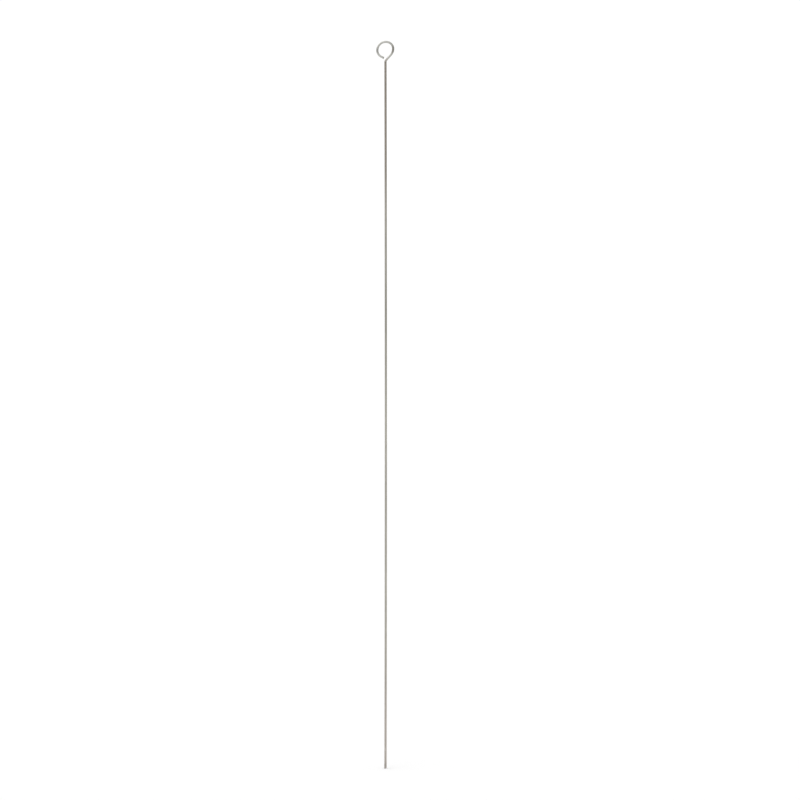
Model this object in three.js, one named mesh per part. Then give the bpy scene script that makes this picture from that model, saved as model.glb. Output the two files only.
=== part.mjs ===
// Inoculating loop, the bare wire that a loop holder grips: one length of drawn nichrome wire, cut
// from a coil, with its working end bent round a mandrel into a small open ring.
// Millimetres. +Z runs up the shank to the ring, the ring lies in the XZ plane, and the origin is the
// middle of the shank's cut face, the end that goes into the holder's chuck.
import * as THREE from "three";

// Driving dimensions.
const OVERALL_LENGTH = 165.1; // cut face to the crown of the ring, 6 1/2 inches
const WIRE_DIAMETER = 0.511; // 24 gauge (AWG)
const SHANK_BOW = 0.09; // how far the hand-straightened shank bows sideways at mid-length
const SHANK_CUT_SLANT = 14; // degrees, the side cutter's slant across the shank's end
const RING_CUT_SLANT = 8; // degrees, the slant across the free tip of the ring

// The forming schedule from the neck to the free tip. Each stretch is straight, or an arc of the
// wire's centreline; turns are in degrees, anticlockwise with +X to the right and +Z up.
const NECK = [
  { radius: 0.77, turn: -42 }, // the wire swings out to one side of the shank's axis
  { length: 1.49 }, // and runs straight to where the ring begins
];
const RING = [
  { radius: 2.15, turn: 43 }, // the wire tightens on to the mandrel
  { radius: 1.5, turn: 68 },
  { radius: 1.95, turn: 54 }, // over the crown
  { radius: 1.9, turn: 66 },
  { radius: 1.55, turn: 55 }, // and back under to the neck
  { length: 0.72 }, // the pliers' grip leaves the free tip straight
];

// Facets.
const SIDES = 24; // of the wire's round section
const BEND_STEP = 0.14; // along the neck and the ring
const SHANK_STEP = 20; // along the shank

const radians = THREE.MathUtils.degToRad;

// A stretch of centreline in the XZ plane that turns evenly along its length, or runs straight when
// its turn is 0. The chord to any point on it leans half as far as the wire has turned by then.
class Stretch extends THREE.Curve {
  constructor(start, heading, length, turn) {
    super();
    Object.assign(this, { start, heading, length, turn });
  }

  getPoint(t, target = new THREE.Vector3()) {
    const half = (this.turn * t) / 2;
    const chord = this.length * t * (half === 0 ? 1 : Math.sin(half) / half);
    const lean = this.heading + half;
    return target.set(chord * Math.cos(lean), 0, chord * Math.sin(lean)).add(this.start);
  }
}

// Follows a schedule from a start point and heading. Gives the path, and the point and the heading
// that it ends with.
function follow(schedule, start, heading) {
  const path = new THREE.CurvePath();
  let at = start;
  for (const { radius, turn = 0, length = radius * Math.abs(radians(turn)) } of schedule) {
    const stretch = new Stretch(at, heading, length, radians(turn));
    path.add(stretch);
    at = stretch.getPoint(1);
    heading += radians(turn);
  }
  return { path, at, heading };
}

// The wire's round section swept along a path, as one closed solid.
function sweptWire(path, step) {
  const section = new THREE.Shape().absarc(0, 0, WIRE_DIAMETER / 2, 0, 2 * Math.PI);
  return new THREE.ExtrudeGeometry(section, {
    steps: Math.ceil(path.getLength() / step),
    extrudePath: path,
    curveSegments: SIDES / 2, // a full arc is divided into twice its curve segments
  });
}

// Slants the square end of a swept wire about its middle: points of that end face move along the
// wire by their offset across it, in the plane of the ring.
function slantEnd(geometry, middle, heading, slant) {
  const along = new THREE.Vector3(Math.cos(heading), 0, Math.sin(heading));
  const across = new THREE.Vector3(Math.sin(heading), 0, -Math.cos(heading));
  const position = geometry.getAttribute("position");
  const point = new THREE.Vector3();
  const offset = new THREE.Vector3();
  const onFace = WIRE_DIAMETER / 100;
  for (let i = 0; i < position.count; i += 1) {
    point.fromBufferAttribute(position, i);
    offset.subVectors(point, middle);
    if (Math.abs(offset.dot(along)) < onFace && offset.length() < WIRE_DIAMETER) {
      point.addScaledVector(along, offset.dot(across) * Math.tan(radians(slant)));
      position.setXYZ(i, point.x, point.y, point.z);
    }
  }
  return geometry;
}

function node(name, geometry, color, roughness) {
  geometry.computeVertexNormals();
  const material = new THREE.MeshStandardMaterial({ color, roughness, metalness: 1 });
  const mesh = new THREE.Mesh(geometry, material);
  mesh.name = name;
  return mesh;
}

// The shank is an arc of very large radius. Its sag fixes how far it turns, and it leans back by
// half of that at the cut face so that both of its ends lie on the Z axis.
const formed = follow([...NECK, ...RING], new THREE.Vector3(), Math.PI / 2);
const crown = Math.max(...formed.path.getSpacedPoints(400).map((point) => point.z));
const shankLength = OVERALL_LENGTH - crown - WIRE_DIAMETER / 2;
const bowTurn = (8 * SHANK_BOW) / shankLength;
const foot = new THREE.Vector3();
const footHeading = Math.PI / 2 - bowTurn / 2;

// The shank: bows towards +X and is cut off with a slant.
const shankSchedule = [{ length: shankLength, turn: THREE.MathUtils.radToDeg(bowTurn) }];
const shank = follow(shankSchedule, foot, footHeading);
const shankGeometry = sweptWire(shank.path, SHANK_STEP);
slantEnd(shankGeometry, foot, footHeading, SHANK_CUT_SLANT);

// The neck: the reverse bend and the run out to the ring.
const neck = follow(NECK, shank.at, shank.heading);
const neckGeometry = sweptWire(neck.path, BEND_STEP);

// The ring: open, with its free tip short of the neck.
const ring = follow(RING, neck.at, neck.heading);
const ringGeometry = sweptWire(ring.path, BEND_STEP);
slantEnd(ringGeometry, ring.at, ring.heading, RING_CUT_SLANT);

const inoculatingLoop = new THREE.Group();
inoculatingLoop.add(
  node("shank", shankGeometry, 0x9c988c, 0.34),
  node("neck_bend", neckGeometry, 0x8b8479, 0.36),
  node("loop_ring", ringGeometry, 0xa8a79f, 0.32),
);

export default inoculatingLoop;
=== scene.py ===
# An inoculating loop: one bare length of drawn nichrome wire, bent at its working end into a small
# open ring. Metres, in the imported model's frame. +Z runs up the wire to the ring, and the wire is bent
# in the XZ plane, with its lower end at the origin.
import math

import bpy
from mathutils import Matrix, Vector


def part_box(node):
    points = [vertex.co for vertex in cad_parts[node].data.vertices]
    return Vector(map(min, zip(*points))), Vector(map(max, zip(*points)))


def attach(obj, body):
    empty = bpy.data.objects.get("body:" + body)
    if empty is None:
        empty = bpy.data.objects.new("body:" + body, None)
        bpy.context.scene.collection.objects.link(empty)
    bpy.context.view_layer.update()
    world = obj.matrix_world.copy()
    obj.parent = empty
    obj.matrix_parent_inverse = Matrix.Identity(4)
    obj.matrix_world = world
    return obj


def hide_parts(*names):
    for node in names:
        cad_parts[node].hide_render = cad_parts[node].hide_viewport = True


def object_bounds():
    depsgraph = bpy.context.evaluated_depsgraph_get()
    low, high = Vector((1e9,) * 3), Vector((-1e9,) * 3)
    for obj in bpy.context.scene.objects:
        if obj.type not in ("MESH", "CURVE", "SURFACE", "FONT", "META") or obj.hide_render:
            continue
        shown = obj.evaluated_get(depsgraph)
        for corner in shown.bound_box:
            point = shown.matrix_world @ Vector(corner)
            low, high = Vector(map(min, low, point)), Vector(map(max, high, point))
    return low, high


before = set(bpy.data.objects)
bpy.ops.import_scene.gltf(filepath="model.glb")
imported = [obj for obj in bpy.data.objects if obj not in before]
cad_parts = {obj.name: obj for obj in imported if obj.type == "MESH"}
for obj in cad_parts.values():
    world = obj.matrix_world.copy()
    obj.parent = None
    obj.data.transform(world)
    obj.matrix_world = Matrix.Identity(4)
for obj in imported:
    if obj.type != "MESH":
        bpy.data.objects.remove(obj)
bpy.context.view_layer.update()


# Shank -----------------------------------------------------------------------------------------------
# The long, nearly straight length that a holder's chuck grips. It is round nickel-chromium wire, pulled
# cold through a die, which leaves fine lines along it, and straightened by hand from the coil, so it
# keeps a slight bow. A side cutter took it off the coil: its blades thinned the end as they met.
MILLIMETRE = 0.001

shank_low, shank_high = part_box("shank")
wire_diameter = shank_high.y - shank_low.y
shank_bow = shank_high.x - wire_diameter / 2
neck_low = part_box("neck_bend")[0]
shank_length = (shank_high.z + neck_low.z) / 2  # their joint leans a little, with the bow

SHANK_CUT_SLANT = math.radians(14)
WIRE_SIDES = 64  # facets round the wire
RUN_STEP = 0.5 * MILLIMETRE  # between the stations of a straight run
END_STEP = 0.003 * MILLIMETRE  # between the last two stations at either end
STEP_GROWTH = 1.06  # from one station to the next, away from the ends


def arc(radius, degrees):
    """A stretch of wire bent to a radius, as its length and its turn, anticlockwise from in front."""
    turn = math.radians(degrees)
    return radius * abs(turn), turn


def straight(length):
    """A stretch of wire that the bending leaves straight."""
    return length, 0.0


def walk(stretches, start, heading, distance):
    """The point and the heading after going that far along a run of stretches. The chord to any point
    of an arc leans half as far as the wire has turned by then."""
    for length, turn in stretches:
        gone = min(distance, length)
        half = turn * gone / length / 2
        chord = gone * (math.sin(half) / half if half else 1)
        start = start + chord * Vector((math.cos(heading + half), 0, math.sin(heading + half)))
        heading += 2 * half
        distance -= gone
    return start, heading


def run_length(stretches):
    """The length of wire in a run of stretches."""
    return sum(length for length, _ in stretches)


def stations(length, step):
    """Distances along a run, an even step apart, closing up towards both of its ends."""
    gone = [0.0]
    gap = END_STEP
    while gone[-1] + gap < length / 2:
        gone.append(gone[-1] + gap)
        gap = min(gap * STEP_GROWTH, step)
    return gone + [length - distance for distance in reversed(gone)]


# What the points of a wire's path know, which the finished wire doesn't keep: their own place, how far
# it is to the path's far end, which way is up the wire, and how far they are from the wire's foot.
PATH_NOTES = {"centre": "FLOAT_VECTOR", "left": "FLOAT", "course": "FLOAT_VECTOR", "along": "FLOAT"}


def centreline(name, stretches, start, heading, step, along, uphill=True):
    """The path of a length of wire, as an object of loose edges. It starts at a distance along the
    whole wire, and is followed up the wire or down it."""
    sense = 1 if uphill else -1
    points, courses, alongs = [], [], []
    for distance in stations(run_length(stretches), step):
        point, way = walk(stretches, start, heading, distance)
        points.append(point)
        courses += [sense * math.cos(way), 0, sense * math.sin(way)]
        alongs.append(along + sense * distance)
    mesh = bpy.data.meshes.new(name)
    mesh.from_pydata(points, [(i, i + 1) for i in range(len(points) - 1)], [])
    mesh.attributes.new("course", "FLOAT_VECTOR", "POINT").data.foreach_set("vector", courses)
    mesh.attributes.new("along", "FLOAT", "POINT").data.foreach_set("value", alongs)
    made = bpy.data.objects.new(name, mesh)
    bpy.context.scene.collection.objects.link(made)
    return made


def add(tree, kind, inputs=(), **settings):
    """Adds a node, with its settings, and fills or links its inputs by their names or numbers."""
    node = tree.nodes.new(kind)
    for name, value in settings.items():
        setattr(node, name, value)
    for name, value in dict(inputs).items():
        if isinstance(value, bpy.types.NodeSocket):
            tree.links.new(value, node.inputs[name])
        else:
            node.inputs[name].default_value = value
    return node


def compute(tree, operation, *values):
    """The result of a Math node, which works on numbers."""
    return add(tree, "ShaderNodeMath", dict(enumerate(values)), operation=operation).outputs[0]


def compute_vector(tree, operation, *values, output=0):
    """The result of a Vector Math node."""
    inputs = dict(enumerate(values))
    return add(tree, "ShaderNodeVectorMath", inputs, operation=operation).outputs[output]


def scaled(tree, vector, factor):
    """A vector times a number."""
    node = add(tree, "ShaderNodeVectorMath", {"Vector": vector, "Scale": factor}, operation="SCALE")
    return node.outputs["Vector"]


def eased(tree, value, low, high, at_low, at_high):
    """A value that goes smoothly from one level to another as its input goes from low to high."""
    inputs = {"Value": value, "From Min": low, "From Max": high, "To Min": at_low, "To Max": at_high}
    return add(tree, "ShaderNodeMapRange", inputs, interpolation_type="SMOOTHSTEP").outputs["Result"]


def attribute(tree, name, output):
    """Something stored on the wire's points, for a finish to read."""
    return add(tree, "ShaderNodeAttribute", attribute_name=name).outputs[output]


def noise(tree, vector, grain, stretch, detail):
    """Noise of a given grain, drawn out across, through and along the wire by factors."""
    at = compute_vector(tree, "MULTIPLY", vector, tuple(1 / factor for factor in stretch))
    inputs = {"Vector": at, "Scale": 1 / grain, "Detail": detail}
    return add(tree, "ShaderNodeTexNoise", inputs).outputs["Fac"]


def blend(tree, share, one, other):
    """The colour that goes from one to the other as the share goes from 0 to 1."""
    inputs = {"Factor": share, "A": one, "B": other}
    mix = tree.nodes.new("ShaderNodeMix")
    mix.data_type = "RGBA"
    for socket in mix.inputs:
        if socket.enabled and socket.name in inputs:
            value = inputs[socket.name]
            if isinstance(value, bpy.types.NodeSocket):
                tree.links.new(value, socket)
            else:
                socket.default_value = value
    return next(socket for socket in mix.outputs if socket.enabled)


# The wire's texture, in layers of noise: the grain, how far it is drawn out, and its detail.
DIE_LINES = 0.02 * MILLIMETRE, (1, 1, 600), 2
SCRATCHES = 0.03 * MILLIMETRE, (1, 1, 45), 1  # shorter and deeper than the lines
SCRATCHED_FROM, SCRATCHED_FULLY = 0.6, 0.72  # only the peaks of their noise, so they are few
MOTTLE = 0.07 * MILLIMETRE, (1, 1, 3), 3  # the thin oxide
STAIN = 0.35 * MILLIMETRE, (1, 1, 2.5), 3  # and its thicker places
BLADE_MARKS = 0.02 * MILLIMETRE, (10, 1, 1), 4  # across a cut face, the way the blades slid
DRIFT = 26 * MILLIMETRE  # over which the wire's tone slowly changes
DRIFT_SEED = 103.5  # where in its noise the wire's foot lies

# What each layer adds to the tone, which goes from 0, dark, to 1, pale.
TONE_SHARES = {"die lines": 0.7, "mottle": 0.4, "stain": 0.6, "scratches": -0.25, "drift": 2.2}
TONE_START = -1.43

# The colours, dark and pale, of the wire as drawn, and of the ring, whose winding stripped the straw
# cast. Distances along the wire are from its foot.
STRAW = (0.38, 0.362, 0.317, 1), (0.55, 0.528, 0.47, 1)
STRIPPED = (0.40, 0.396, 0.37, 1), (0.58, 0.577, 0.545, 1)
STRIPPED_FROM = shank_length - 0.5 * MILLIMETRE
STRIPPED_FULLY = shank_length + 1 * MILLIMETRE

# What making and using it has done to those colours, and how strongly each shows: pliers rubbed the free
# tip bright, a holder dulled the foot, flaming left a brown oxide under the ring that fades out along
# the neck, and a patch of the ring's first side, the side away from the lamp, is darkened: painted
# shade, with a little brown of scorching. The wire is darker where the cutters thinned it, which is
# painted shade for the flattened end's darker reflection, and bright where jaws pressed it.
RUBBED, RUBBED_SHARE = (0.80, 0.795, 0.76, 1), 0.25
RUBBED_FROM = shank_length + 9.3 * MILLIMETRE
RUBBED_FULLY = shank_length + 10.6 * MILLIMETRE
DULLED, DULLED_SHARE = (0.457, 0.39, 0.362, 1), 0.5
DULLED_FULLY = 10 * MILLIMETRE
DULLED_TO = 34 * MILLIMETRE
FLAMED, FLAMED_SHARE = (0.287, 0.234, 0.19, 1), 0.62
FLAMED_FROM = shank_length - 43 * MILLIMETRE
FLAMED_FULLY = shank_length - 18 * MILLIMETRE
FLAMED_FADES = shank_length - 0.5 * MILLIMETRE
FLAMED_TO = shank_length + 1.7 * MILLIMETRE
# Painted shade: darkens the ring's first side, away from the lamp, with a little brown of scorching.
SHADE_AND_SCORCH, SHADE_AND_SCORCH_SHARE = (0.262, 0.245, 0.215, 1), 0.8
SHADE_AND_SCORCH_MIDDLE = shank_length + 3.35 * MILLIMETRE
SHADE_AND_SCORCH_REACH = 1.75 * MILLIMETRE
# Painted shade: the wire near each cut is darkened, standing in for the darker reflection of its
# flattened end.
THINNED_END_SHADE, THINNED_END_SHADE_SHARE = (0.26, 0.245, 0.23, 1), 0.4
PRESSED, PRESSED_SHARE = (0.86, 0.84, 0.80, 1), 0.4

# The gloss, by patches of mottle and stain, and the relief of the lines, the mottle and the scratches.
PATCHES_FROM, PATCHES_TO = 0.7, 1.3
ROUGHEST, SMOOTHEST = 0.46, 0.31
FLAMING_ROUGHENS = 0.05
JAWS_SMOOTH = 0.12
RELIEF = 0.0022 * MILLIMETRE
RELIEF_STRENGTH = 0.7
MOTTLE_RISE = 0.35
SCRATCH_CUT = 0.9


def drawn_nichrome():
    """Nickel-chromium wire as drawn: grey with a straw cast, satin, with fine lines along it."""
    skin = bpy.data.materials.new("drawn_nichrome")
    skin.use_nodes = True
    tree = skin.node_tree
    shader = tree.nodes["Principled BSDF"]
    wire = attribute(tree, "straight", "Vector")
    along = add(tree, "ShaderNodeSeparateXYZ", {"Vector": wire}).outputs["Z"]
    pressed = attribute(tree, "pressed", "Fac")
    # Where the cutters thinned the wire, which the finish darkens as painted shade.
    thinned = attribute(tree, "thinned", "Fac")

    scratches = noise(tree, wire, *SCRATCHES)
    inputs = {"W": compute(tree, "MULTIPLY_ADD", along, 1 / DRIFT, DRIFT_SEED), "Scale": 1, "Detail": 1}
    drift = add(tree, "ShaderNodeTexNoise", inputs, noise_dimensions="1D").outputs["Fac"]
    layers = {
        "die lines": noise(tree, wire, *DIE_LINES),
        "scratches": eased(tree, scratches, SCRATCHED_FROM, SCRATCHED_FULLY, 0, 1),
        "mottle": noise(tree, wire, *MOTTLE),
        "stain": noise(tree, wire, *STAIN),
        "drift": drift,
    }
    tone = TONE_START
    for name, share in TONE_SHARES.items():
        tone = compute(tree, "MULTIPLY_ADD", layers[name], share, tone)
    stripped = eased(tree, along, STRIPPED_FROM, STRIPPED_FULLY, 0, 1)
    colour = blend(tree, stripped, blend(tree, tone, *STRAW), blend(tree, tone, *STRIPPED))

    flamed = eased(tree, along, FLAMED_FROM, FLAMED_FULLY, 0, FLAMED_SHARE)
    flamed = compute(tree, "MULTIPLY", flamed, eased(tree, along, FLAMED_FADES, FLAMED_TO, 1, 0))
    # Distance from the middle of the painted shade on the ring's first side.
    from_shade_and_scorch = compute(tree, "ABSOLUTE", compute(tree, "SUBTRACT", along, SHADE_AND_SCORCH_MIDDLE))
    for share, tint in (
        (eased(tree, along, RUBBED_FROM, RUBBED_FULLY, 0, RUBBED_SHARE), RUBBED),
        (eased(tree, along, DULLED_FULLY, DULLED_TO, DULLED_SHARE, 0), DULLED),
        (flamed, FLAMED),
        # painted shade on the ring's side away from the lamp, with a little scorch brown
        (eased(tree, from_shade_and_scorch, 0, SHADE_AND_SCORCH_REACH, SHADE_AND_SCORCH_SHARE, 0), SHADE_AND_SCORCH),
        # painted shade near each cut, for the flattened end's darker reflection
        (compute(tree, "MULTIPLY", thinned, THINNED_END_SHADE_SHARE), THINNED_END_SHADE),
        (compute(tree, "MULTIPLY", pressed, PRESSED_SHARE), PRESSED),
    ):
        colour = blend(tree, share, colour, tint)
    tree.links.new(colour, shader.inputs["Base Color"])
    shader.inputs["Metallic"].default_value = 1

    patches = compute(tree, "ADD", layers["mottle"], layers["stain"])
    rough = eased(tree, patches, PATCHES_FROM, PATCHES_TO, ROUGHEST, SMOOTHEST)
    rough = compute(tree, "MULTIPLY_ADD", flamed, FLAMING_ROUGHENS, rough)
    rough = compute(tree, "MULTIPLY_ADD", pressed, -JAWS_SMOOTH, rough)
    tree.links.new(rough, shader.inputs["Roughness"])
    height = compute(tree, "MULTIPLY_ADD", layers["mottle"], MOTTLE_RISE, layers["die lines"])
    height = compute(tree, "MULTIPLY_ADD", layers["scratches"], -SCRATCH_CUT, height)
    inputs = {"Height": height, "Strength": RELIEF_STRENGTH, "Distance": RELIEF}
    bump = add(tree, "ShaderNodeBump", inputs)
    tree.links.new(bump.outputs["Normal"], shader.inputs["Normal"])
    return skin


CUT_FACE = (0.44, 0.425, 0.40, 1), (0.68, 0.66, 0.63, 1)  # dark and pale
CUT_FACE_ROUGHEST, CUT_FACE_SMOOTHEST = 0.5, 0.35
BLADE_MARKS_FROM, BLADE_MARKS_TO = 0.3, 0.7
BLADE_RELIEF = 0.003 * MILLIMETRE
BLADE_RELIEF_STRENGTH = 0.6


def sheared_nichrome():
    """The fresh metal of a cut face: paler and rougher, with the blades' marks across it."""
    skin = bpy.data.materials.new("sheared_nichrome")
    skin.use_nodes = True
    tree = skin.node_tree
    shader = tree.nodes["Principled BSDF"]
    marks = noise(tree, attribute(tree, "straight", "Vector"), *BLADE_MARKS)
    tone = eased(tree, marks, BLADE_MARKS_FROM, BLADE_MARKS_TO, 0, 1)
    tree.links.new(blend(tree, tone, *CUT_FACE), shader.inputs["Base Color"])
    shader.inputs["Metallic"].default_value = 1
    levels = BLADE_MARKS_FROM, BLADE_MARKS_TO, CUT_FACE_ROUGHEST, CUT_FACE_SMOOTHEST
    tree.links.new(eased(tree, marks, *levels), shader.inputs["Roughness"])
    inputs = {"Height": marks, "Strength": BLADE_RELIEF_STRENGTH, "Distance": BLADE_RELIEF}
    bump = add(tree, "ShaderNodeBump", inputs)
    tree.links.new(bump.outputs["Normal"], shader.inputs["Normal"])
    return skin


FACE_RINGS = 4  # rings of facets on a cut face
FACE_RING_SHRINK = 0.7  # from one ring to the next
AT_CUT = 1e-7  # anything nearer the cut than this is on its face
JAWS_FULL, JAWS_EDGE = 0.25, 0.5  # in widths from their middle: to where they press fully, and at all


def drawn_wire():
    """The tree that draws wire along its path, whose far end is finished as a cut face."""
    tree = bpy.data.node_groups.new("drawn_wire", "GeometryNodeTree")
    tree.interface.new_socket("Path", in_out="INPUT", socket_type="NodeSocketGeometry")
    tree.interface.new_socket("Sides", in_out="INPUT", socket_type="NodeSocketInt")
    for name in (
        "Wire Diameter",
        "Cut Slant",  # how far off square the blades were held
        "Cut Bite",  # the share by which they thinned the wire, and widened it the other way
        "Bite Reach",  # how far back from the cut that shows
        "Cut Bevel",  # how far the face falls back under each blade, down the wire
        "Cut Rim",  # the rounding of the face's edge
        "Jaws Middle",  # where a tool's jaws have pressed, as a distance along the whole wire
        "Jaws Width",
        "Side Dents",  # how deep they went in the plane of the ring
        "Face Dents",  # and square to it
    ):
        tree.interface.new_socket(name, in_out="INPUT", socket_type="NodeSocketFloat")
    tree.interface.new_socket("Wire", in_out="OUTPUT", socket_type="NodeSocketGeometry")
    sizes = add(tree, "NodeGroupInput").outputs
    radius = compute(tree, "MULTIPLY", sizes["Wire Diameter"], 0.5)

    # Each point of the path also notes its place, and how far it is from the path's far end.
    path = add(tree, "GeometryNodeMeshToCurve", {"Mesh": sizes["Path"]}).outputs["Curve"]
    gone = add(tree, "GeometryNodeSplineParameter").outputs["Length"]
    total = add(tree, "GeometryNodeSplineLength").outputs["Length"]
    position = add(tree, "GeometryNodeInputPosition").outputs[0]

    def store(geometry, name, data_type, value):
        """Notes a value at every point."""
        inputs = {"Geometry": geometry, "Name": name, "Value": value}
        kind = "GeometryNodeStoreNamedAttribute"
        return add(tree, kind, inputs, data_type=data_type, domain="POINT").outputs["Geometry"]

    def read(name):
        """Something that the path's points know."""
        inputs = {"Name": name}
        kind = "GeometryNodeInputNamedAttribute"
        return add(tree, kind, inputs, data_type=PATH_NOTES[name]).outputs[0]

    path = store(path, "centre", "FLOAT_VECTOR", position)
    path = store(path, "left", "FLOAT", compute(tree, "SUBTRACT", total, gone))

    # The round section is drawn along it, and draws in over the rim of the cut.
    depth = compute(tree, "DIVIDE", read("left"), sizes["Cut Rim"])
    depth = compute(tree, "SUBTRACT", 1, compute(tree, "MINIMUM", depth, 1))
    rise = compute(tree, "SQRT", compute(tree, "SUBTRACT", 1, compute(tree, "MULTIPLY", depth, depth)))
    drawn_in = compute(tree, "MULTIPLY", compute(tree, "SUBTRACT", 1, rise), sizes["Cut Rim"])
    inputs = {"Resolution": sizes["Sides"], "Radius": radius}
    section = add(tree, "GeometryNodeCurvePrimitiveCircle", inputs).outputs["Curve"]
    inputs = {
        "Curve": path,
        "Profile Curve": section,
        "Scale": compute(tree, "SUBTRACT", 1, compute(tree, "DIVIDE", drawn_in, radius)),
        "Fill Caps": True,
    }
    wire = add(tree, "GeometryNodeCurveToMesh", inputs).outputs["Mesh"]

    # The cut face gets rings of facets, so that it can fall back under the blades.
    corners = add(tree, "GeometryNodeInputMeshFaceNeighbors").outputs["Vertex Count"]
    at_cut = compute(tree, "LESS_THAN", read("left"), AT_CUT)
    for _ in range(FACE_RINGS):
        whole_face = compute(tree, "MULTIPLY", compute(tree, "GREATER_THAN", corners, 4), at_cut)
        inputs = {"Mesh": wire, "Selection": whole_face, "Offset Scale": 0}
        ring = add(tree, "GeometryNodeExtrudeMesh", inputs, mode="FACES").outputs
        inputs = {"Geometry": ring["Mesh"], "Selection": ring["Top"], "Scale": FACE_RING_SHRINK}
        wire = add(tree, "GeometryNodeScaleElements", inputs, domain="FACE").outputs["Geometry"]

    # Every point is placed again across the wire: wider one way and thinner the other near the cut,
    # and slid along it by the slant and by the bevel that each blade leaves.
    front = (0, 1, 0)
    side = compute_vector(tree, "CROSS_PRODUCT", front, read("course"))
    offset = compute_vector(tree, "SUBTRACT", position, read("centre"))
    across = compute_vector(tree, "DOT_PRODUCT", offset, side, output="Value")
    through = compute_vector(tree, "DOT_PRODUCT", offset, front, output="Value")
    from_jaws = compute(tree, "SUBTRACT", read("along"), sizes["Jaws Middle"])
    from_jaws = compute(tree, "DIVIDE", compute(tree, "ABSOLUTE", from_jaws), sizes["Jaws Width"])
    in_jaws = eased(tree, from_jaws, JAWS_FULL, JAWS_EDGE, 1, 0)

    def dented(offset, dent):
        """An offset pressed flat by a dent on either side, and the share of the dent that it took,
        which is none where there is no dent."""
        most = compute(tree, "SUBTRACT", radius, compute(tree, "MULTIPLY", dent, in_jaws))
        least = compute(tree, "MULTIPLY", most, -1)
        flat = compute(tree, "MAXIMUM", compute(tree, "MINIMUM", offset, most), least)
        taken = compute(tree, "ABSOLUTE", compute(tree, "SUBTRACT", offset, flat))
        return flat, compute(tree, "DIVIDE", taken, dent)

    across, side_share = dented(across, sizes["Side Dents"])
    through, face_share = dented(through, sizes["Face Dents"])
    pressed = compute(tree, "MAXIMUM", side_share, face_share)
    bite = eased(tree, read("left"), 0, sizes["Bite Reach"], sizes["Cut Bite"], 0)
    thinned_share = compute(tree, "DIVIDE", bite, sizes["Cut Bite"])
    near_cut = eased(tree, read("left"), 0, radius, 1, 0)
    widened = compute(tree, "MULTIPLY", across, compute(tree, "ADD", 1, bite))
    thinned = compute(tree, "MULTIPLY", through, compute(tree, "SUBTRACT", 1, bite))
    slide = compute(tree, "MULTIPLY", across, compute(tree, "TANGENT", sizes["Cut Slant"]))
    from_middle = compute(tree, "DIVIDE", compute(tree, "ABSOLUTE", through), radius)
    bevel = eased(tree, from_middle, 0, 1, 0, sizes["Cut Bevel"])
    slide = compute(tree, "MULTIPLY", compute(tree, "SUBTRACT", slide, bevel), near_cut)
    placed = compute_vector(tree, "ADD", read("centre"), scaled(tree, side, widened))
    placed = compute_vector(tree, "ADD", placed, scaled(tree, front, thinned))
    placed = compute_vector(tree, "ADD", placed, scaled(tree, read("course"), slide))

    # The wire's own coordinates, as though it had never been bent, are noted for its finish, and so
    # are the marks of the tools.
    along = compute(tree, "ADD", read("along"), slide)
    unbent = add(tree, "ShaderNodeCombineXYZ", {"X": widened, "Y": thinned, "Z": along}).outputs[0]
    wire = store(wire, "straight", "FLOAT_VECTOR", unbent)
    wire = store(wire, "pressed", "FLOAT", pressed)
    # The share of the bite also masks the painted shade near each cut.
    wire = store(wire, "thinned", "FLOAT", thinned_share)
    inputs = {"Geometry": wire, "Position": placed}
    wire = add(tree, "GeometryNodeSetPosition", inputs).outputs["Geometry"]

    # The ends inside the wire stay flat, so that the shading runs on across a joint.
    inside = compute(tree, "SUBTRACT", compute(tree, "GREATER_THAN", corners, 4), at_cut)
    inputs = {"Geometry": wire, "Shade Smooth": compute(tree, "LESS_THAN", inside, 0.5)}
    wire = add(tree, "GeometryNodeSetShadeSmooth", inputs, domain="FACE").outputs["Geometry"]
    inputs = {"Geometry": wire}
    wire = add(tree, "GeometryNodeRealizeInstances", inputs).outputs["Geometry"]
    inputs = {"Geometry": wire, "Material": drawn_nichrome()}
    wire = add(tree, "GeometryNodeSetMaterial", inputs).outputs["Geometry"]
    inputs = {"Geometry": wire, "Selection": at_cut, "Material": sheared_nichrome()}
    wire = add(tree, "GeometryNodeSetMaterial", inputs).outputs["Geometry"]
    add(tree, "NodeGroupOutput", {"Wire": wire})
    return tree


wire_drawing = drawn_wire()


def draw_wire(path, sizes):
    """Draws wire along its path, whose object turns into a plain mesh of the wire."""
    drawing = path.modifiers.new("drawing", "NODES")
    drawing.node_group = wire_drawing
    sizes = {"Sides": WIRE_SIDES, "Wire Diameter": wire_diameter, **sizes}
    for socket in wire_drawing.interface.items_tree:
        if socket.in_out == "INPUT" and socket.name in sizes:
            drawing[socket.identifier] = sizes[socket.name]
    drawn = path.evaluated_get(bpy.context.evaluated_depsgraph_get())
    mesh = bpy.data.meshes.new_from_object(drawn)
    path.modifiers.remove(drawing)
    for name in PATH_NOTES:
        mesh.attributes.remove(mesh.attributes[name])
    path.data = mesh
    return path


# What the side cutter's blades do to an end of the wire.
CUT = {
    "Cut Bite": 0.07,
    "Bite Reach": 2.4 * MILLIMETRE,
    "Cut Bevel": 0.05 * MILLIMETRE,
    "Cut Rim": 0.02 * MILLIMETRE,
}

bow_turn = 8 * shank_bow / shank_length
shank_top, shank_top_heading = walk(
    [(shank_length, bow_turn)], Vector(), math.pi / 2 - bow_turn / 2, shank_length
)
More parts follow.
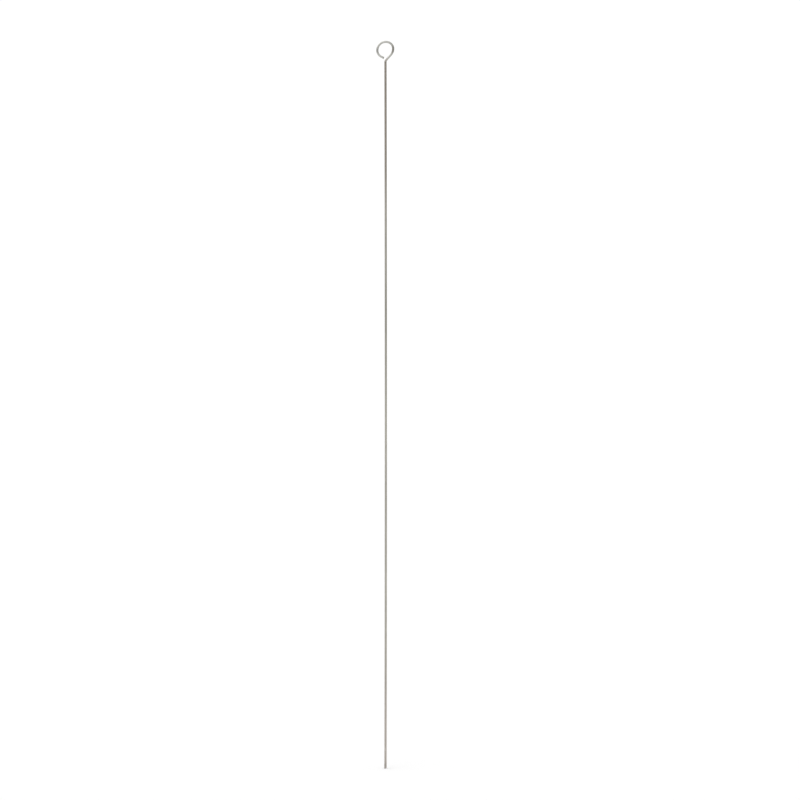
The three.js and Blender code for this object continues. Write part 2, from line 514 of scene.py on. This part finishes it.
# The shank's path is followed down from its top, so that its far end is the cut one. Its face falls
# back up the wire, so its bevel is negative.
shank = draw_wire(
    centreline(
        "wire_shank",
        [(shank_length, -bow_turn)],
        shank_top,
        shank_top_heading + math.pi,
        RUN_STEP,
        along=shank_length,
        uphill=False,
    ),
    {
        "Cut Slant": SHANK_CUT_SLANT,
        **CUT,
        "Cut Bevel": -CUT["Cut Bevel"],
        "Jaws Middle": 4.3 * MILLIMETRE,
        "Jaws Width": 1.1 * MILLIMETRE,
        "Side Dents": 0.005 * MILLIMETRE,
        "Face Dents": 0.007 * MILLIMETRE,
    },
)
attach(shank, "root")
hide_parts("shank")


# Neck ------------------------------------------------------------------------------------------------
# Where the bending starts: the wire is kinked sideways in round-nosed pliers, which sets the ring over
# the shank's own axis, and runs on straight to the mandrel.
BEND_STEP = 0.06 * MILLIMETRE  # between the stations of a bend
neck_run = [arc(0.77 * MILLIMETRE, -42), straight(1.49 * MILLIMETRE)]
neck_length = run_length(neck_run)
neck_top, neck_top_heading = walk(neck_run, shank_top, shank_top_heading, neck_length)
neck = draw_wire(
    centreline("wire_neck", neck_run, shank_top, shank_top_heading, BEND_STEP, along=shank_length),
    {
        "Jaws Middle": shank_length + 0.4 * MILLIMETRE,
        "Jaws Width": 0.7 * MILLIMETRE,
        "Side Dents": 0.012 * MILLIMETRE,
    },
)
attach(neck, "root")
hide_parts("neck_bend")


# Ring ------------------------------------------------------------------------------------------------
# The open ring that picks up a measured drop, wound by hand round a 3 mm mandrel, so it isn't quite
# round. Its free tip, held straight in the pliers, stops just short of the neck and is cut off there.
RING_CUT_SLANT = math.radians(8)  # nearly square
ring_run = [
    arc(2.15 * MILLIMETRE, 43),
    arc(1.5 * MILLIMETRE, 68),
    arc(1.95 * MILLIMETRE, 54),
    arc(1.9 * MILLIMETRE, 66),
    arc(1.55 * MILLIMETRE, 55),
    straight(0.72 * MILLIMETRE),
]
ring_length = run_length(ring_run)
ring_start = shank_length + neck_length
ring = draw_wire(
    centreline("wire_ring", ring_run, neck_top, neck_top_heading, BEND_STEP, along=ring_start),
    {
        "Cut Slant": RING_CUT_SLANT,
        **CUT,
        "Bite Reach": 0.6 * MILLIMETRE,
        "Jaws Middle": ring_start + ring_length - 0.75 * MILLIMETRE,
        "Jaws Width": 0.5 * MILLIMETRE,
        "Face Dents": 0.008 * MILLIMETRE,
    },
)
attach(ring, "root")
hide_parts("loop_ring")


# Stage -----------------------------------------------------------------------------------------------
# A plain pale floor at the wire's foot, under a white sky that is dimmer towards the horizon, and one
# large soft lamp high on the left.
FLOOR_SIZE = 8.0
PAPER_WHITE = (0.9, 0.9, 0.9, 1)
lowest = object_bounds()[0].z
bpy.ops.mesh.primitive_plane_add(size=FLOOR_SIZE, location=(0, 0, lowest))
floor = bpy.context.object
floor.name = "floor"
paper = bpy.data.materials.new("white_paper")
paper.use_nodes = True
paper_shader = paper.node_tree.nodes["Principled BSDF"]
paper_shader.inputs["Base Color"].default_value = PAPER_WHITE
paper_shader.inputs["Roughness"].default_value = 1.0
paper_shader.inputs["Specular IOR Level"].default_value = 0.0
floor.data.materials.append(paper)

SKY_AT_HORIZON = 0.42
SKY_OVERHEAD = 1.1
SKY_BRIGHTEST_FROM = 0.9  # the height, from 0 at the horizon to 1 overhead, where it is brightest
BACKDROP = 1.04  # what the camera sees of it: just past white, so that no grain shows
world = bpy.data.worlds.new("studio")
bpy.context.scene.world = world
world.use_nodes = True
sky = world.node_tree
sky.nodes.clear()
direction = add(sky, "ShaderNodeTexCoord").outputs["Generated"]
height = add(sky, "ShaderNodeSeparateXYZ", {"Vector": direction}).outputs["Z"]
height = compute(sky, "ABSOLUTE", height)
brightness = eased(sky, height, 0, SKY_BRIGHTEST_FROM, SKY_AT_HORIZON, SKY_OVERHEAD)
white = (1, 1, 1, 1)
lit = add(sky, "ShaderNodeBackground", {"Color": white, "Strength": brightness})
seen = add(sky, "ShaderNodeBackground", {"Color": white, "Strength": BACKDROP})
from_camera = add(sky, "ShaderNodeLightPath").outputs["Is Camera Ray"]
inputs = {"Fac": from_camera, 1: lit.outputs["Background"], 2: seen.outputs["Background"]}
shown = add(sky, "ShaderNodeMixShader", inputs).outputs["Shader"]
add(sky, "ShaderNodeOutputWorld", {"Surface": shown})

LAMP_FROM = Vector((-0.7, -0.45, 0.9))
LAMP_STRENGTH = 0.8
LAMP_SPREAD = math.radians(60)
lamp = bpy.data.objects.new("lamp", bpy.data.lights.new("lamp", "SUN"))
lamp.data.energy = LAMP_STRENGTH
lamp.data.angle = LAMP_SPREAD
lamp.rotation_euler = LAMP_FROM.to_track_quat("Z", "Y").to_euler()
bpy.context.scene.collection.objects.link(lamp)

# The camera looks straight along +Y, at about the middle of the wire's height and a little to its right.
LENS = 100.0  # in millimetres, as the sensor's width is
SENSOR = 36.0
VIEW_WIDTH = 181.57 * MILLIMETRE  # what it takes in, at the wire's distance
VIEW_X = 3.295 * MILLIMETRE
VIEW_Z = 83.57 * MILLIMETRE
camera = bpy.data.objects.new("camera", bpy.data.cameras.new("camera"))
bpy.context.scene.collection.objects.link(camera)
camera.data.lens = LENS
camera.data.sensor_width = SENSOR
camera.location = (VIEW_X, -VIEW_WIDTH * LENS / SENSOR, VIEW_Z)
camera.rotation_euler = (math.pi / 2, 0, 0)
bpy.context.scene.camera = camera
bpy.context.scene.view_settings.view_transform = "Standard"
